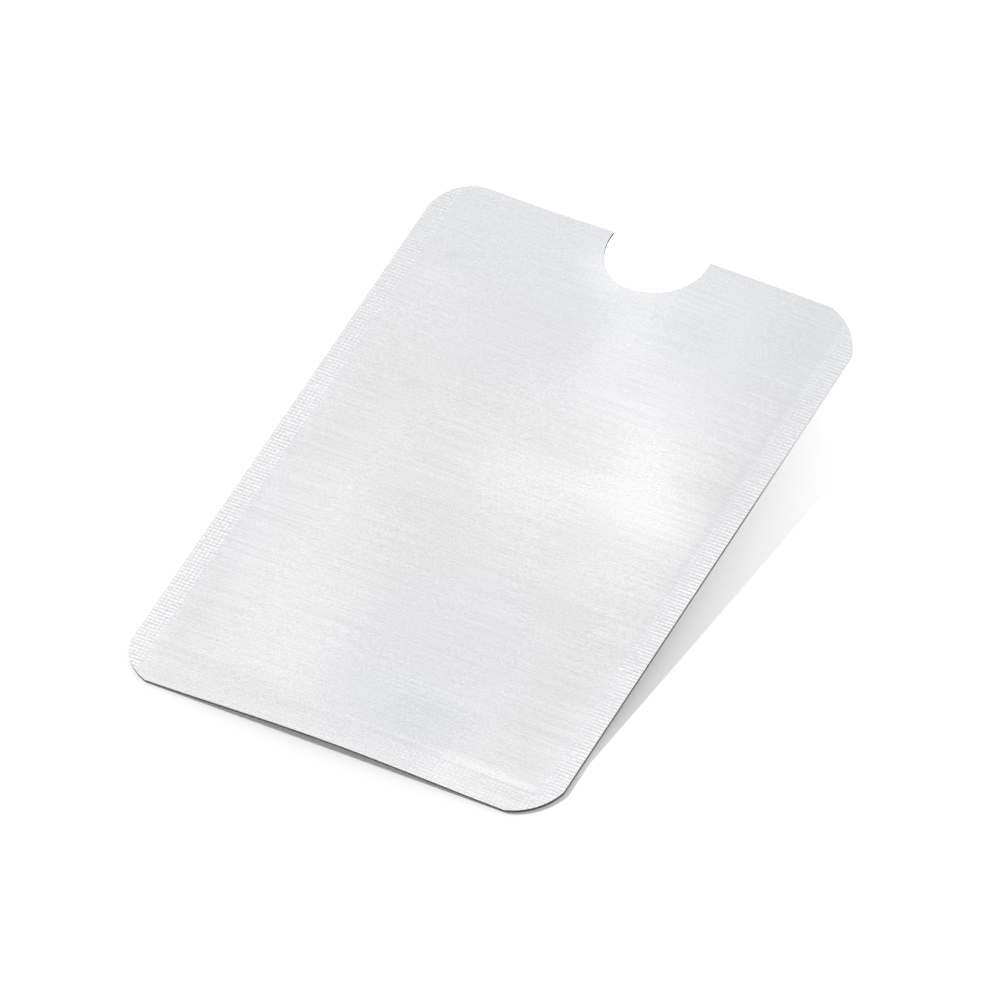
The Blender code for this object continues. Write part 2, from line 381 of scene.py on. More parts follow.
class SleeveStudio(bpy.types.PropertyGroup):
    """The camera, the floor and the lamps."""

    aim: length_setting(
        "Aim", "Point that the middle of the picture shows",
        (0.00106, -0.00060, 0.00045), subtype="TRANSLATION")
    azimuth: angle_setting(
        "Azimuth", "Camera's angle round from the bottom edge towards the right side", 34.977)
    elevation: angle_setting("Elevation", "Camera's angle above the floor", 49.888)
    roll: angle_setting("Roll", "Turn of the picture about the line of sight", -8.599)
    distance: length_setting("Distance", "Distance from the camera to the point it aims at", 2.2045)
    lens: number_setting("Lens", "Focal length in millimetres", 615.9, min=1.0)
    lamp_distance: length_setting(
        "Lamp distance", "Distance from the lamps to the point the camera aims at", 20.0)
    key_azimuth: angle_setting("Key azimuth", "Key lamp's angle round, as the camera's", -90.0)
    key_elevation: angle_setting("Key elevation", "Key lamp's angle above the floor", 35.0)
    key_disc: angle_setting("Key disc", "Angle that the key lamp's disc fills", 4.0)
    key_strength: number_setting("Key strength", "Strength of the key lamp", 2.84, min=0.0)
    softbox_overlap: angle_setting(
        "Softbox overlap", "Angle by which the softbox passes the mirrored line of sight", -3.6)
    softbox_colour: colour_setting(
        "Softbox colour", "Slightly warm light of the softbox", (1.0, 0.985, 0.965))
    softbox_size: length_setting("Softbox size", "Height and width of the softbox", (12.0, 12.8))
    softbox_power: number_setting("Softbox power", "Power of the softbox in watts", 707.0, min=0.0)
    surroundings_level: number_setting(
        "Surroundings level", "Strength of the surroundings' light on what isn't polished", 0.60, min=0.0)
    floor_glow: number_setting(
        "Floor glow", "Glow of the seen floor, near the bottom edge and at the mouth", (0.15, 0.60), min=0.0)
    floor_tilt: angle_setting("Floor tilt", "How far the floor falls away towards the mouth", 3.85)
    floor_bend: length_setting("Floor bend", "Place along the sleeve from which the floor falls away", -0.034)
    floor_size: length_setting("Floor size", "Side of the square floor", 6.0)
    floor_colour: colour_setting("Floor colour", "Pale floor", (0.92, 0.92, 0.92))


def deselect_all():
    if bpy.context.mode != "OBJECT":
        bpy.ops.object.mode_set(mode="OBJECT")
    bpy.ops.object.select_all(action="DESELECT")


def make_active(piece):
    deselect_all()
    piece.select_set(True)
    bpy.context.view_layer.objects.active = piece


def apply_place():
    """Puts the active object's place and size into its mesh."""
    bpy.ops.object.transform_apply(location=True, rotation=False, scale=True)


def choose(piece, kind, wanted):
    """In edit mode, selects the vertices, edges or faces that pass a test."""
    bpy.ops.mesh.select_mode(type=kind)
    bpy.ops.mesh.select_all(action="DESELECT")
    shape = bmesh.from_edit_mesh(piece.data)
    for part in {"VERT": shape.verts, "EDGE": shape.edges, "FACE": shape.faces}[kind]:
        part.select = wanted(part)
    shape.select_flush_mode()
    bmesh.update_edit_mesh(piece.data)


def apply_modifier(piece, kind, **settings):
    """Adds a modifier with the given settings and applies it."""
    make_active(piece)
    bpy.ops.object.modifier_add(type=kind)
    modifier = piece.modifiers[-1]
    for name, value in settings.items():
        setattr(modifier, name, value)
    bpy.ops.object.modifier_apply(modifier=modifier.name)


def ease(share):
    """Runs smoothly from 0 to 1 while its argument does, and stays there outside."""
    return 0.5 - 0.5 * math.cos(math.pi * min(max(share, 0.0), 1.0))


def ease_between(value, ends):
    """Runs smoothly from 0 at the first end to 1 at the second."""
    return ease((value - ends[0]) / (ends[1] - ends[0]))


def lies_between(edge, near, far):
    """True for an edge that runs along X and lies between two distances from the middle."""
    start, end = (corner.co for corner in edge.verts)
    reach = sorted((abs(start.x), abs(end.x)))
    return abs(start.y - end.y) < tiny and reach[0] > near - tiny and reach[1] < far + tiny


def step_length(shape):
    return 2 * half_length / (shape.dots_along * steps_per_dot)


def step_width(shape):
    return shape.side_band_width / (shape.dots_across_band * steps_per_dot)


def band_inner_edge(shape):
    return half_width - shape.side_band_width


def band_height(shape):
    """Height of the bottom band."""
    return shape.bottom_band_steps * step_length(shape)


def flat_grid(name, columns, rows):
    """A flat grid as large as the sleeve."""
    deselect_all()
    bpy.ops.mesh.primitive_grid_add(x_subdivisions=columns, y_subdivisions=rows, size=1.0)
    sheet = bpy.context.object
    sheet.name = name
    bpy.ops.transform.resize(value=(2 * half_width, 2 * half_length, 1.0))
    apply_place()
    return sheet


def scored_sheet(name, shape):
    """A flat sheet with the rows and columns that its bands, folds and pocket need."""
    sheet = flat_grid(name, 1, shape.dots_along * steps_per_dot)
    inner = band_inner_edge(shape)
    band_top = band_height(shape) - half_length + tiny

    def on_panel(edge):
        return lies_between(edge, 0.0, inner - shape.crease_width)

    bpy.ops.object.mode_set(mode="EDIT")
    for step in range(crease_steps + 1):
        line = inner - shape.crease_width * step / crease_steps
        for side in (-1, 1):
            bpy.ops.mesh.select_all(action="SELECT")
            bpy.ops.mesh.bisect(plane_co=(side * line, 0.0, 0.0), plane_no=(1.0, 0.0, 0.0))
    choose(sheet, "EDGE", lambda edge: lies_between(edge, inner, half_width))
    bpy.ops.mesh.subdivide(number_cuts=shape.dots_across_band * steps_per_dot - 1)
    choose(sheet, "EDGE", on_panel)
    bpy.ops.mesh.subdivide(number_cuts=panel_columns - 1)
    choose(sheet, "EDGE", lambda edge: on_panel(edge) and edge.verts[0].co.y < band_top)
    bpy.ops.mesh.subdivide(number_cuts=dots_per_column * steps_per_dot - 1)
    choose(sheet, "EDGE", lambda edge: on_panel(edge) and edge.verts[0].co.y > band_top)
    bpy.ops.mesh.subdivide(number_cuts=1)
    bpy.ops.object.mode_set(mode="OBJECT")
    return sheet


def turn_over(sheet):
    """Makes the lower side of a sheet its outer face."""
    make_active(sheet)
    bpy.ops.object.mode_set(mode="EDIT")
    bpy.ops.mesh.select_all(action="SELECT")
    bpy.ops.mesh.flip_normals()
    bpy.ops.object.mode_set(mode="OBJECT")


def lift(sheet, height_at):
    """Raises each point by the height for its place, painted as weights for a Displace modifier."""
    heights = [height_at(corner.co.x, corner.co.y) for corner in sheet.data.vertices]
    lowest = min(heights)
    span = max(heights) - lowest
    weights = sheet.vertex_groups.new(name="height")
    for index, height in enumerate(heights):
        weights.add([index], (height - lowest) / span, "REPLACE")
    apply_modifier(sheet, "DISPLACE", direction="Z", mid_level=0.0, strength=span, vertex_group="height")
    bpy.ops.transform.translate(value=(0.0, 0.0, lowest))
    apply_place()
    sheet.vertex_groups.clear()


def jaw_pressure(x, y, column, row, seed):
    """How hard the sealing jaws pressed: it drifts along the bands and varies from dot to dot."""
    drift = drift_mean + drift_reach * noise.noise(Vector((x * drift_steps[0], y * drift_steps[1], seed)))
    dot = dot_least + dot_reach * noise.cell(Vector((column // steps_per_dot, row // steps_per_dot, seed)))
    return min(max(drift, drift_limits[0]), drift_limits[1]) * dot


def pressed_height(shape, x, y, seed):
    """Height of the pressed pattern: ribs across a band, and dots that stand on them."""
    inner = band_inner_edge(shape)
    row = round((y + half_length) / step_length(shape))
    outside = abs(x) - inner
    if outside > tiny:
        column = round(outside / step_width(shape))
        side = 0 if x < 0 else 1
        fade = 1.0 - shape.top_fades[side] * ease_between(y, side_fade_ends)
        outwards = ease(outside / shape.side_band_width)
        spread = 1.0 if side == 0 else rib_inner_share + (1.0 - rib_inner_share) * outwards
    elif outside < -tiny and row < shape.bottom_band_steps:
        column = round((x + inner) / step_width(shape))
        side = 2
        fade = ease_between(x, bottom_fade_ends)
        spread = 1.0
    else:
        return 0.0
    rise = row_shares[row % steps_per_dot]
    rib = shape.rib_heights[side] * spread
    dot = shape.dot_heights[side] * column_shares[column % steps_per_dot]
    return fade * jaw_pressure(x, y, column, row, seed) * rise * (rib + dot)


def swell_height(x, y):
    """Height of the front panel's gentle swells."""
    x /= millimetre
    y /= millimetre
    total = 0.0
    for centre_x, centre_y, reach_x, reach_y, height in swells:
        away = math.hypot((x - centre_x) / reach_x, (y - centre_y) / reach_y)
        total += height * (1.0 - ease(away))
    return total * micrometre


def arch_height(shape, x, y):
    """Height of the arch that both panels share, highest in the middle of the bottom edge."""
    rise = back_high.z - shape.back_step - shape.film_thickness
    return rise * (1.0 - ease(abs(x) / half_width)) * (1.0 - ease((y + half_length) / shape.arch_length))


def pocket_share(shape, x, y):
    """Runs from 0 on the bands to 1 over the pocket, through the folds at the sides and the bottom."""
    from_side = (band_inner_edge(shape) - abs(x)) / shape.crease_width
    above_band = y + half_length - band_height(shape)
    sharp = shape.sharp_fold_share * ease_between(x, sharp_fold_ends)
    from_bottom = sharp * ease(above_band / shape.sharp_fold_width)
    from_bottom += (1.0 - sharp) * ease(above_band / shape.soft_fold_width)
    return ease(from_side) * from_bottom


def front_height(shape, x, y):
    """Height of the front panel's layers over their level on the bands."""
    swell = swell_height(x, y) * ease((band_inner_edge(shape) - abs(x)) / shape.swell_fade)
    swell *= ease((y + half_length - band_height(shape)) / shape.swell_fade)
    return arch_height(shape, x, y) + shape.front_step * pocket_share(shape, x, y) + swell


def back_height(shape, x, y):
    """Height of the back film over its level on the bands."""
    return arch_height(shape, x, y) - shape.back_step * pocket_share(shape, x, y)


def make_cutters(shape):
    """One object that takes away the four corners and the thumb notch."""
    depth = cutter_depths * (cad_high.z - cad_low.z)
    overrun = shape.side_band_width
    corners = ((-1, 1), (1, 1), (1, -1), (-1, -1))
    pieces = []
    for (side, end), radius, share in zip(corners, shape.corner_radii, shape.corner_set_in_shares):
        centre = Vector((side * (half_width - radius * share), end * (half_length - radius * share), 0.0))
        reach = radius * share + overrun
        deselect_all()
        bpy.ops.mesh.primitive_cube_add(size=1.0, location=centre + Vector((side, end, 0.0)) * reach / 2)
        block = bpy.context.object
        bpy.ops.transform.resize(value=(reach, reach, depth))
        apply_place()
        deselect_all()
        bpy.ops.mesh.primitive_cylinder_add(
            vertices=corner_facets, radius=radius, depth=2 * depth, location=centre)
        round_bar = bpy.context.object
        apply_modifier(block, "BOOLEAN", operation="DIFFERENCE", solver="MANIFOLD", object=round_bar)
        bpy.data.objects.remove(round_bar)
        pieces.append(block)
    deselect_all()
    bpy.ops.mesh.primitive_cylinder_add(
        vertices=notch_facets, radius=shape.notch_radius, depth=2 * depth,
        location=(shape.notch_offset, half_length - shape.notch_centre_inset, 0.0))
    notch_bar = bpy.context.object
    apply_place()
    for piece in pieces:
        piece.select_set(True)
    bpy.ops.object.join()
    return notch_bar


def cut_outline(sheet, shape):
    cutters = make_cutters(shape)
    apply_modifier(sheet, "BOOLEAN", operation="DIFFERENCE", solver="MANIFOLD", object=cutters)
    bpy.data.objects.remove(cutters)


def finish_layer(sheet, shape, thickness):
    """Gives a formed sheet its thickness inwards, cuts it out and smooths its shading."""
    apply_modifier(sheet, "SOLIDIFY", thickness=thickness, offset=-1.0)
    cut_outline(sheet, shape)
    make_active(sheet)
    bpy.ops.object.shade_smooth_by_angle(angle=smooth_angle)


def inner_sheet(name, shape, level, thickness):
    """A plain layer that lies under the front film and follows it."""
    sheet = flat_grid(name, 2 * (shape.dots_across_band + panel_columns), shape.dots_along)
    lift(sheet, lambda x, y: level + front_height(shape, x, y))
    finish_layer(sheet, shape, thickness)
    return sheet


def new_group(name, *inputs):
    """A shader node group that reads a place, named Vector, and numbers, and the outputs of its start."""
    group = bpy.data.node_groups.new(name, "ShaderNodeTree")
    group.interface.new_socket(name="Vector", in_out="INPUT", socket_type="NodeSocketVector")
    for label in inputs:
        group.interface.new_socket(name=label, in_out="INPUT", socket_type="NodeSocketFloat")
    return group, group.nodes.new("NodeGroupInput").outputs


def end_group(group, results):
    """Gives a node group its named number outputs."""
    for label in results:
        group.interface.new_socket(name=label, in_out="OUTPUT", socket_type="NodeSocketFloat")
    add_node(group, "NodeGroupOutput", inputs=results)
    return group


def shared_group(name, build, *values):
    """The node group of that name, built when it is first asked for."""
    return bpy.data.node_groups.get(name) or build(name, *values)


def feed(tree, node, inputs):
    """Gives a node's inputs, by name or number, a value or another node's output."""
    for name, value in inputs.items():
        if isinstance(value, bpy.types.NodeSocket):
            tree.links.new(value, node.inputs[name])
        else:
            node.inputs[name].default_value = value


def add_node(tree, kind, settings=None, inputs=None):
    """A new node with its settings and inputs."""
    node = tree.nodes.new(kind)
    for name, value in (settings or {}).items():
        setattr(node, name, value)
    feed(tree, node, inputs or {})
    return node


def add_math(tree, operation, first, second=0.0):
    """What a Math node makes of two numbers or other nodes' outputs."""
    return add_node(tree, "ShaderNodeMath", {"operation": operation}, {0: first, 1: second}).outputs[0]


def add_product(tree, total, *factors):
    """The product of two or more numbers or other nodes' outputs."""
    for factor in factors:
        total = add_math(tree, "MULTIPLY", total, factor)
    return total


def add_ramp(tree, value, ends=(0.0, 1.0), results=(0.0, 1.0), smooth=True):
    """Carries a value from one pair of ends to another, eased or in a straight run."""
    kind = "SMOOTHSTEP" if smooth else "LINEAR"
    return add_node(tree, "ShaderNodeMapRange", {"interpolation_type": kind}, {
        "Value": value, "From Min": ends[0], "From Max": ends[1],
        "To Min": results[0], "To Max": results[1]}).outputs["Result"]


def add_distance(tree, vector, location, turn, reach):
    """Distance from a location, in reaches across and along a turned frame."""
    mapping = add_node(tree, "ShaderNodeMapping", {"vector_type": "TEXTURE"}, {
        "Vector": vector, "Location": (*location, 0.0), "Rotation": (0.0, 0.0, turn), "Scale": (*reach, 1.0)})
    away = add_node(tree, "ShaderNodeVectorMath", {"operation": "LENGTH"}, {0: mapping.outputs["Vector"]})
    return away.outputs["Value"]


def add_mix(tree, factor, first, second):
    """A mix of two colours, each a plain colour or another node's output."""
    return add_node(tree, "ShaderNodeMix", {"data_type": "RGBA"}, {
        "Factor": factor, "A": first, "B": second}).outputs["Result"]


def add_group(tree, group, place, **inputs):
    """The outputs of a node group at a place."""
    return add_node(tree, "ShaderNodeGroup", {"node_tree": group}, {"Vector": place, **inputs}).outputs


def brushing_group(name):
    """Fine straight brushing along X: gives streaks and a height, both from 0 to 1."""
    group, start = new_group(name, "Shift")
    streaks = 0.0
    for cells, share in brushing_layers:
        mapping = add_node(group, "ShaderNodeMapping", inputs={"Vector": start["Vector"], "Scale": cells})
        layer = add_node(group, "ShaderNodeTexNoise", {"noise_dimensions": "4D"}, {
            "Vector": mapping.outputs["Vector"], "W": start["Shift"], "Scale": 1.0, "Detail": 0.0})
        streaks = add_math(group, "ADD", streaks, add_product(group, layer.outputs["Fac"], share))
    along = add_node(group, "ShaderNodeSeparateXYZ", inputs={"Vector": start["Vector"]}).outputs["Y"]
    depth = add_ramp(group, along, *brushing_fade)
    off_mean = add_product(group, add_math(group, "SUBTRACT", streaks, mean_streak), depth)
    return end_group(group, {
        "Streaks": add_math(group, "ADD", off_mean, mean_streak),
        "Height": add_product(group, layer.outputs["Fac"], depth)})


def band_light_group(name, shape):
    """Painted glints of the pressed pattern, above 0 on dots and ribs and below 0 as painted shade in the
    valleys, the band tint, and painted shade along the bands and their folds.
    """
    group, start = new_group(name)
    x, y = add_node(group, "ShaderNodeSeparateXYZ", inputs={"Vector": start["Vector"]}).outputs[:2]
    inner = band_inner_edge(shape)
    outside = add_math(group, "SUBTRACT", add_math(group, "ABSOLUTE", x), inner)
    on_side = add_math(group, "GREATER_THAN", outside, 0.0)
    on_right = add_math(group, "GREATER_THAN", x, inner)
    above = add_math(group, "ADD", y, half_length)
    below_top = add_math(group, "LESS_THAN", above, band_height(shape))
    on_bottom = add_product(group, below_top, add_math(group, "SUBTRACT", 1.0, on_side))
    cell = steps_per_dot * step_width(shape)
    side_cells = add_product(group, add_math(group, "DIVIDE", outside, cell), on_side)
    from_left = add_math(group, "DIVIDE", add_math(group, "ADD", x, inner), cell)
    cells = add_math(group, "ADD", side_cells, add_product(group, from_left, on_bottom))
    column = add_math(group, "FRACT", cells)
    row = add_math(group, "FRACT", add_math(group, "DIVIDE", above, steps_per_dot * step_length(shape)))
    off_column = add_math(group, "SUBTRACT", column, dot_middle[0])
    off_row = add_math(group, "SUBTRACT", row, dot_middle[1])
    squares = [add_product(group, part, part) for part in (off_column, off_row)]
    # Painted glints on the dots and ribs, and painted shade below 0 in the valleys
    dots = add_ramp(group, add_math(group, "SQRT", add_math(group, "ADD", *squares)), *dot_glint_profile)
    ribs = add_ramp(group, add_math(group, "ABSOLUTE", off_row), *rib_glint_profile)
    rib_glint = add_ramp(group, outside, (0.0, shape.side_band_width), rib_glint_shares)
    dot_glint_share = add_math(group, "SUBTRACT", 1.0, add_product(group, on_right, dot_glint_loss))
    side_glint = add_math(group, "ADD", add_product(group, dots, dot_glint_share),
                          add_product(group, ribs, on_right, rib_glint))
    side_fade = add_ramp(group, y, side_fade_ends, side_fade_glints)
    bottom_fade = add_ramp(group, x, bottom_fade_ends, bottom_fade_glints)
    glint = add_math(group, "ADD", add_product(group, side_glint, on_side, side_fade),
                     add_product(group, dots, on_bottom, bottom_fade))
    mapping = add_node(group, "ShaderNodeMapping", inputs={"Vector": start["Vector"], "Scale": glint_patches})
    patches = add_node(group, "ShaderNodeTexNoise", inputs={
        "Vector": mapping.outputs["Vector"], "Scale": 1.0, "Detail": glint_patch_detail})
    patch_share = add_ramp(group, patches.outputs["Fac"], *glint_patch_fade)
    # Painted shade along the side bands and their folds, and along the bottom band and its fold
    side_shade = add_product(group, add_ramp(group, outside, side_shade_ends),
                                add_ramp(group, y, *side_shade_fade))
    bottom_ends = [band_height(shape) + distance for distance in bottom_shade_ends]
    bottom_shade = add_product(group, add_ramp(group, above, bottom_ends),
                                  add_ramp(group, x, *bottom_shade_fade),
                                  add_math(group, "SUBTRACT", 1.0, side_shade))
    return end_group(group, {
        "Painted Glint": add_product(group, glint, patch_share),
        "Band Edge": add_ramp(group, outside, band_tint_ends),
        "Painted Side Shade": side_shade,
        "Painted Bottom Shade": bottom_shade})


def marks_group(name, marks, softness):
    """A mask that is 1 inside oval marks and fades at their rims."""
    group, start = new_group(name)
    total = 0.0
    for *sizes, turn in marks:
        x, y, half_long, half_wide = (size * millimetre for size in sizes)
        away = add_distance(group, start["Vector"], (x, y), math.radians(turn), (half_long, half_wide))
        total = add_math(group, "MAXIMUM", total, add_ramp(group, away, (1.0, 1.0 - softness)))
    return end_group(group, {"Mask": total})


def edge_highlight_group(name, shape):
    """A mask that is 1 where a cut edge gets a painted highlight: on the right towards the mouth, and in the
    notch.
    """
    group, start = new_group(name)
    x, y, z = add_node(group, "ShaderNodeSeparateXYZ", inputs={"Vector": start["Vector"]}).outputs
    on_right = add_product(
        group, add_ramp(group, x, highlight_across_ends), add_ramp(group, y, highlight_along_ends))
    notch_centre = (shape.notch_offset, half_length - shape.notch_centre_inset)
    away = add_distance(group, start["Vector"], notch_centre, 0.0, (shape.notch_radius, shape.notch_radius))
    near_notch = add_math(group, "LESS_THAN", away, highlight_notch_reach)
    off_line = add_math(group, "ABSOLUTE", add_math(group, "SUBTRACT", z, pocket_line_height))
    off_pocket = add_math(group, "GREATER_THAN", off_line, pocket_line_half_height)
    in_notch = add_product(group, near_notch, off_pocket)
    return end_group(group, {"Mask": add_math(group, "MAXIMUM", on_right, in_notch)})


def new_material(name, colour, roughness, metallic):
    """A material with its node tree, its shader and its object coordinates."""
    material = bpy.data.materials.new(name)
    material.use_nodes = True
    tree = material.node_tree
    shader = tree.nodes["Principled BSDF"]
    feed(tree, shader, {"Base Color": (*colour, 1.0), "Roughness": roughness, "Metallic": metallic})
    return material, tree, shader, add_node(tree, "ShaderNodeTexCoord").outputs["Object"]


def brushed_film_material(name, finish, shift, marked):
    """Satin silver film with fine brushing across the sleeve, painted glints and shade on its pressed bands,
    painted shade at its folds, and if wanted tints, patches of painted shade and marks of handling.
    """
    roughness = finish.film_roughness
    material, tree, shader, place = new_material(name, finish.film_colour, roughness, 1.0)
    brushing = add_group(tree, shared_group("straight_brushing", brushing_group), place, Shift=shift)
    pressed = add_group(
        tree, shared_group("band_glints_and_fold_shade", band_light_group, bpy.context.scene.sleeve_shape), place)
    tone = add_ramp(tree, brushing["Streaks"], streak_ends, streak_tones, smooth=False)
    # Painted glints and shade of the pressed bands, and painted shade at the folds
    changes = [
        (pressed["Painted Glint"], finish.painted_glint),
        (pressed["Painted Side Shade"], -finish.painted_fold_shade[0]),
        (pressed["Painted Bottom Shade"], -finish.painted_fold_shade[1]),
    ]
    colour = (*finish.film_colour, 1.0)
    edge_colour = (*finish.film_edge_colour, 1.0)
    if marked:
        def mask_of(label, marks, softness):
            return add_group(tree, marks_group(label, marks, softness), place)["Mask"]

        violet = mask_of("violet_patches", violet_patches, violet_softness)
        cold = mask_of("cold_patches", cold_patches, cold_softness)
        colour = add_mix(tree, violet, colour, (*finish.film_violet_colour, 1.0))
        colour = add_mix(tree, pressed["Band Edge"], colour, edge_colour)
        colour = add_mix(tree, cold, colour, (*finish.film_cold_colour, 1.0))
        # Patches of painted shade, and marks of handling
        for label, marks, softness, change in film_marks:
            changes.append((mask_of(label, marks, softness), change))
    else:
        colour = add_mix(tree, pressed["Band Edge"], colour, edge_colour)
    for mask, change in changes:
        tone = add_math(tree, "ADD", tone, add_product(tree, mask, change))
    toned = add_node(tree, "ShaderNodeVectorMath", {"operation": "SCALE"}, {0: colour, "Scale": tone})
    polish = add_ramp(tree, brushing["Streaks"], streak_ends,
                      (roughness - polish_reach, roughness + polish_reach), smooth=False)
    bump = add_node(tree, "ShaderNodeBump", inputs={
        "Height": brushing["Height"], "Strength": bump_strength, "Distance": bump_height})
    feed(tree, shader, {
        "Base Color": toned.outputs["Vector"], "Roughness": polish, "Normal": bump.outputs["Normal"]})
    return material


def foil_material(name, finish):
    """Bright rolled foil, seen only at the cut edges."""
    material, tree, shader, place = new_material(name, finish.foil_colour, foil_roughness, 1.0)
    brushing = add_group(tree, shared_group("straight_brushing", brushing_group), place, Shift=foil_shift)
    polish = add_ramp(tree, brushing["Streaks"], results=foil_polish, smooth=False)
    feed(tree, shader, {"Roughness": polish})
    return material


def lining_material(name, finish, colour, roughness):
    """Dark grey polymer with a slight mottle, with a painted highlight of bright metal on the cut edge
    towards the mouth on the right and round the notch.
    """
    material, tree, shader, place = new_material(name, colour, roughness, 0.0)
    # Where the cut edges get their painted highlight
    group = shared_group("painted_edge_highlight", edge_highlight_group, bpy.context.scene.sleeve_shape)
    highlight = add_group(tree, group, place)["Mask"]
    mottle = add_node(tree, "ShaderNodeTexNoise", inputs={
        "Vector": place, "Scale": mottle_cells, "Detail": mottle_detail})
    shade = add_ramp(tree, mottle.outputs["Fac"], results=mottle_shares, smooth=False)
    mottled = add_node(tree, "ShaderNodeVectorMath", {"operation": "SCALE"}, {0: colour, "Scale": shade})
    mixed = add_mix(tree, highlight, mottled.outputs["Vector"], (*finish.edge_highlight_colour, 1.0))
    feed(tree, shader, {"Base Color": mixed, "Metallic": highlight})
    return material


def set_material(piece, material):
    piece.data.materials.clear()
    piece.data.materials.append(material)


def finish_film(sheet, side, finish, shift, marked):
    """Gives a film its brushed finish, and its upright cut edges their dull grey."""
    set_material(sheet, brushed_film_material(f"{side}_brushed_film", finish, shift, marked))
    sheet.data.materials.append(
        lining_material(f"{side}_cut_edge", finish, finish.cut_edge_colour, cut_edge_roughness))
    make_active(sheet)
    bpy.ops.object.mode_set(mode="EDIT")
    choose(sheet, "FACE", lambda face: abs(face.normal.z) < upright_limit)
    sheet.active_material_index = 1
    bpy.ops.object.material_slot_assign()
    bpy.ops.object.mode_set(mode="OBJECT")


class SLEEVE_OT_front_film(bpy.types.Operator):
    """Models the front outer film with its pressed bands, and gives it its brushed finish"""

    bl_idname = "sleeve.front_film"
    bl_label = "Front Film"

    def execute(self, context):
        shape = context.scene.sleeve_shape
        level = front_low.z + shape.film_thickness
        sheet = scored_sheet("front_film_skin", shape)
        lift(sheet, lambda x, y: level + front_height(shape, x, y) + pressed_height(shape, x, y, front_seed))
        finish_layer(sheet, shape, shape.film_thickness)
        finish_film(sheet, "front", context.scene.sleeve_finish, front_shift, marked=True)
        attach(sheet, "root")
        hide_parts("front_outer_film")
        return {"FINISHED"}


class SLEEVE_OT_back_film(bpy.types.Operator):
    """Models the back outer film with its pressed bands, and gives it its brushed finish"""

    bl_idname = "sleeve.back_film"
    bl_label = "Back Film"

    def execute(self, context):
        shape = context.scene.sleeve_shape
        level = back_low.z + shape.back_step
        sheet = scored_sheet("back_film_skin", shape)
        turn_over(sheet)
        lift(sheet, lambda x, y: level + back_height(shape, x, y) - pressed_height(shape, x, y, back_seed))
        finish_layer(sheet, shape, shape.film_thickness)
        finish_film(sheet, "back", context.scene.sleeve_finish, back_shift, marked=False)
        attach(sheet, "root")
        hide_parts("back_outer_film")
        return {"FINISHED"}


class SLEEVE_OT_inner_layers(bpy.types.Operator):
    """Models the front foil and lining under the front film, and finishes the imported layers"""

    bl_idname = "sleeve.inner_layers"
    bl_label = "Inner Layers"

    def execute(self, context):
        finish = context.scene.sleeve_finish
        shape = context.scene.sleeve_shape
        foil_level = front_low.z - shape.glue_line
        lining_level = foil_level - shape.foil_thickness - shape.glue_line
        layers = (
            ("front_foil_sheet", "front_shield_foil", "shield_foil", foil_level, shape.foil_thickness),
            ("front_lining_sheet", "front_liner", "liner", lining_level, shape.lining_thickness),
        )
        finishes = {
            "shield_foil": foil_material("bright_foil", finish),
            "liner": lining_material("dark_lining", finish, finish.lining_colour, lining_roughness),
            "seal": lining_material("melted_lining", finish, finish.seal_colour, seal_roughness),
        }
        for name, node, slot, level, thickness in layers:
            sheet = inner_sheet(name, shape, level, thickness)
            set_material(sheet, finishes[slot])
            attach(sheet, "root")
            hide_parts(node)
        for name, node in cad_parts.items():
            for ending, material in finishes.items():
                if name.endswith(ending):
                    set_material(node, material)
        return {"FINISHED"}


def direction(azimuth, elevation):
    """A unit vector at an angle round from the bottom edge towards the right side, and up."""
    level = math.cos(elevation)
    return Vector((math.sin(azimuth) * level, -math.cos(azimuth) * level, math.sin(elevation)))


def add_lamp(studio, kind, name, outward):
    """A new lamp in a direction from the point that the camera aims at."""
    deselect_all()
    bpy.ops.object.light_add(type=kind, location=Vector(studio.aim) + outward * studio.lamp_distance)
    lamp = bpy.context.object
    lamp.name = name
    return lamp


def add_softbox(studio):
    """A large soft lamp overhead on the left.

    Its near edge follows the line in which the film would mirror the camera if the
    sleeve leaned sideways, so that only a lean along the sleeve shows as light and dark.
    """
    view = direction(studio.azimuth, studio.elevation)
    mirrored = Vector((-view.x, -view.y, view.z))
    away = mirrored.cross(Vector((view.z, 0.0, view.x))).normalized()
    height, width = studio.softbox_size
    turn = math.atan(height / 2 / studio.lamp_distance) - studio.softbox_overlap
    outward = mirrored * math.cos(turn) - away * math.sin(turn)
    upward = -(away - outward * away.dot(outward)).normalized()
    lamp = add_lamp(studio, "AREA", "overhead_softbox", outward)
    lamp.data.shape = "RECTANGLE"
    lamp.data.size = width
    lamp.data.size_y = height
    lamp.data.energy = studio.softbox_power
    lamp.data.color = studio.softbox_colour
    lamp.visible_diffuse = False
    lamp.rotation_euler = Matrix((upward.cross(outward), upward, outward)).transposed().to_euler()


def add_key(studio):
    """A distant lamp with a wide disc, which gives the soft shadow."""
    outward = direction(studio.key_azimuth, studio.key_elevation)
    lamp = add_lamp(studio, "SUN", "key_lamp", outward)
    lamp.data.energy = studio.key_strength
    lamp.data.angle = studio.key_disc
    lamp.visible_glossy = False
    lamp.rotation_euler = outward.to_track_quat("Z", "Y").to_euler()


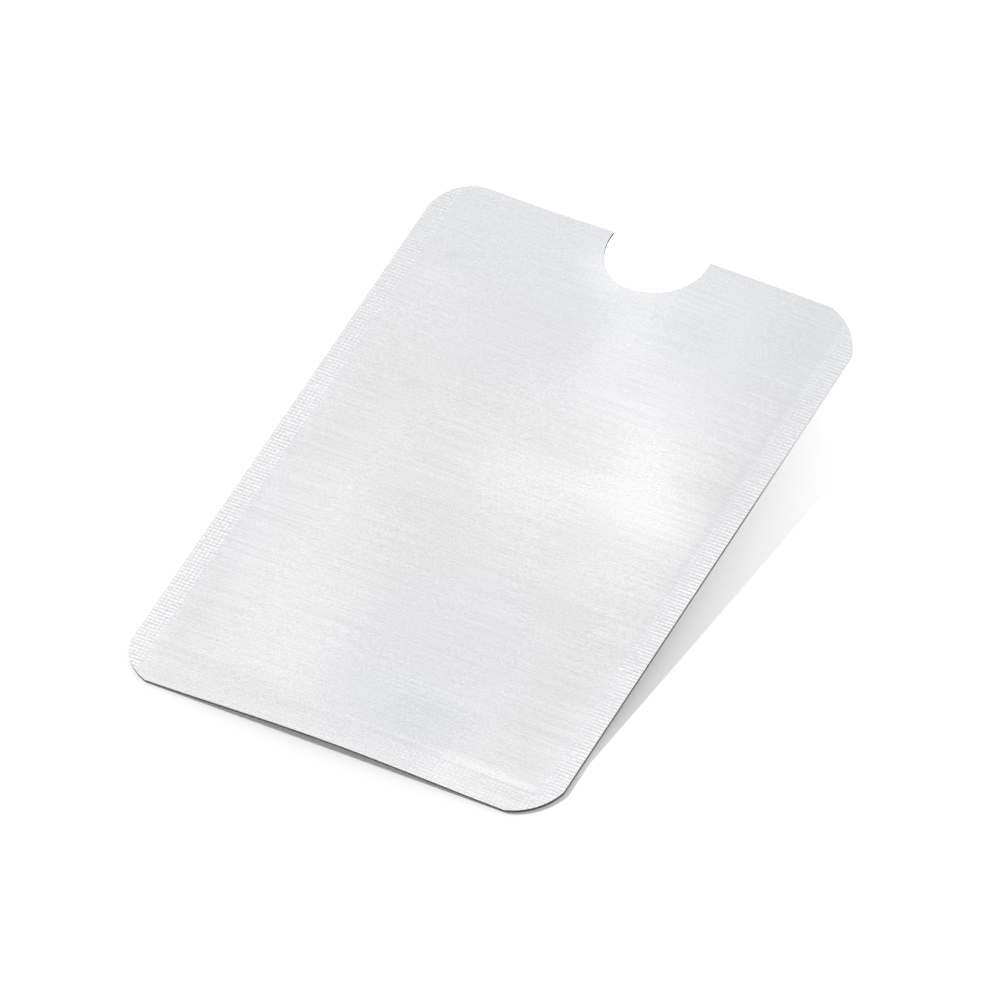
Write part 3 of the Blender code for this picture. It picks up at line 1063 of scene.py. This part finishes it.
class SLEEVE_OT_stage(bpy.types.Operator):
    """Sets up the pale floor, the soft lamps, the white surroundings and the camera"""

    bl_idname = "sleeve.stage"
    bl_label = "Stage"

    def execute(self, context):
        studio = context.scene.sleeve_studio
        self.add_floor(studio)
        self.add_surroundings(context, studio)
        add_key(studio)
        add_softbox(studio)
        self.add_camera(context, studio)
        context.scene.view_settings.view_transform = "Standard"
        return {"FINISHED"}

    def add_floor(self, studio):
        deselect_all()
        bpy.ops.mesh.primitive_grid_add(
            x_subdivisions=1, y_subdivisions=2, size=studio.floor_size,
            location=(0.0, studio.floor_bend, 0.0))
        floor = bpy.context.object
        floor.name = "studio_floor"
        apply_place()
        bpy.ops.object.mode_set(mode="EDIT")
        choose(floor, "VERT", lambda corner: corner.co.y > studio.floor_bend + tiny)
        bpy.ops.transform.translate(value=(0.0, 0.0, -studio.floor_size / 2 * math.tan(studio.floor_tilt)))
        bpy.ops.object.mode_set(mode="OBJECT")
        material, tree, shader, place = new_material("pale_floor", studio.floor_colour, floor_roughness, 0.0)
        along = add_node(tree, "ShaderNodeSeparateXYZ", inputs={"Vector": place}).outputs["Y"]
        near_end, far_end = studio.floor_glow
        near_glow = add_ramp(
            tree, along, (-half_length, -near_glow_share * half_length), (0.0, near_end), smooth=False)
        far_glow = add_ramp(tree, along, (-half_length, half_length), (0.0, far_end), smooth=False)
        rays = add_node(tree, "ShaderNodeLightPath").outputs
        seen = add_math(tree, "MAXIMUM", rays["Is Camera Ray"], rays["Is Glossy Ray"])
        glow = add_product(tree, seen, add_math(tree, "MAXIMUM", near_glow, far_glow))
        feed(tree, shader, {"Emission Color": white, "Emission Strength": glow})
        set_material(floor, material)

    def add_surroundings(self, context, studio):
        world = context.scene.world or bpy.data.worlds.new("studio_surroundings")
        context.scene.world = world
        world.use_nodes = True
        tree = world.node_tree
        rays = add_node(tree, "ShaderNodeLightPath").outputs
        seen = add_math(tree, "MAXIMUM", rays["Is Camera Ray"], rays["Is Glossy Ray"])
        seen = add_math(tree, "MAXIMUM", seen, rays["Is Transmission Ray"])
        strength = add_ramp(tree, seen, results=(studio.surroundings_level, 1.0), smooth=False)
        feed(tree, tree.nodes["Background"], {"Color": white, "Strength": strength})

    def add_camera(self, context, studio):
        data = bpy.data.cameras.new("photo_view")
        camera = bpy.data.objects.new("photo_view", data)
        context.scene.collection.objects.link(camera)
        turn = Euler((math.pi / 2 - studio.elevation, 0.0, studio.azimuth)).to_quaternion()
        turn = turn @ Euler((0.0, 0.0, studio.roll)).to_quaternion()
        camera.rotation_mode = "QUATERNION"
        camera.rotation_quaternion = turn
        camera.location = Vector(studio.aim) + turn @ Vector((0.0, 0.0, studio.distance))
        data.lens = studio.lens
        data.clip_end = camera_reach
        context.scene.camera = camera


class SLEEVE_PT_panel(bpy.types.Panel):
    """Lists the sleeve's operators and settings"""

    bl_idname = "SLEEVE_PT_panel"
    bl_label = "Card Sleeve"
    bl_space_type = "VIEW_3D"
    bl_region_type = "UI"
    bl_category = "Sleeve"

    def draw(self, context):
        layout = self.layout
        for operator in sleeve_operators:
            layout.operator(operator.bl_idname)
        scene = context.scene
        for settings in (scene.sleeve_shape, scene.sleeve_finish, scene.sleeve_studio):
            box = layout.box()
            for name in settings.__annotations__:
                box.prop(settings, name)


settings_groups = (SleeveShape, SleeveFinish, SleeveStudio)
sleeve_operators = (SLEEVE_OT_front_film, SLEEVE_OT_back_film, SLEEVE_OT_inner_layers, SLEEVE_OT_stage)


def register():
    for item in (*settings_groups, *sleeve_operators, SLEEVE_PT_panel):
        bpy.utils.register_class(item)
    bpy.types.Scene.sleeve_shape = PointerProperty(type=SleeveShape)
    bpy.types.Scene.sleeve_finish = PointerProperty(type=SleeveFinish)
    bpy.types.Scene.sleeve_studio = PointerProperty(type=SleeveStudio)


def unregister():
    del bpy.types.Scene.sleeve_studio
    del bpy.types.Scene.sleeve_finish
    del bpy.types.Scene.sleeve_shape
    for item in reversed((*settings_groups, *sleeve_operators, SLEEVE_PT_panel)):
        bpy.utils.unregister_class(item)


def main():
    register()
    bpy.ops.sleeve.front_film()
    bpy.ops.sleeve.back_film()
    bpy.ops.sleeve.inner_layers()
    bpy.ops.sleeve.stage()


if __name__ == "__main__":
    main()
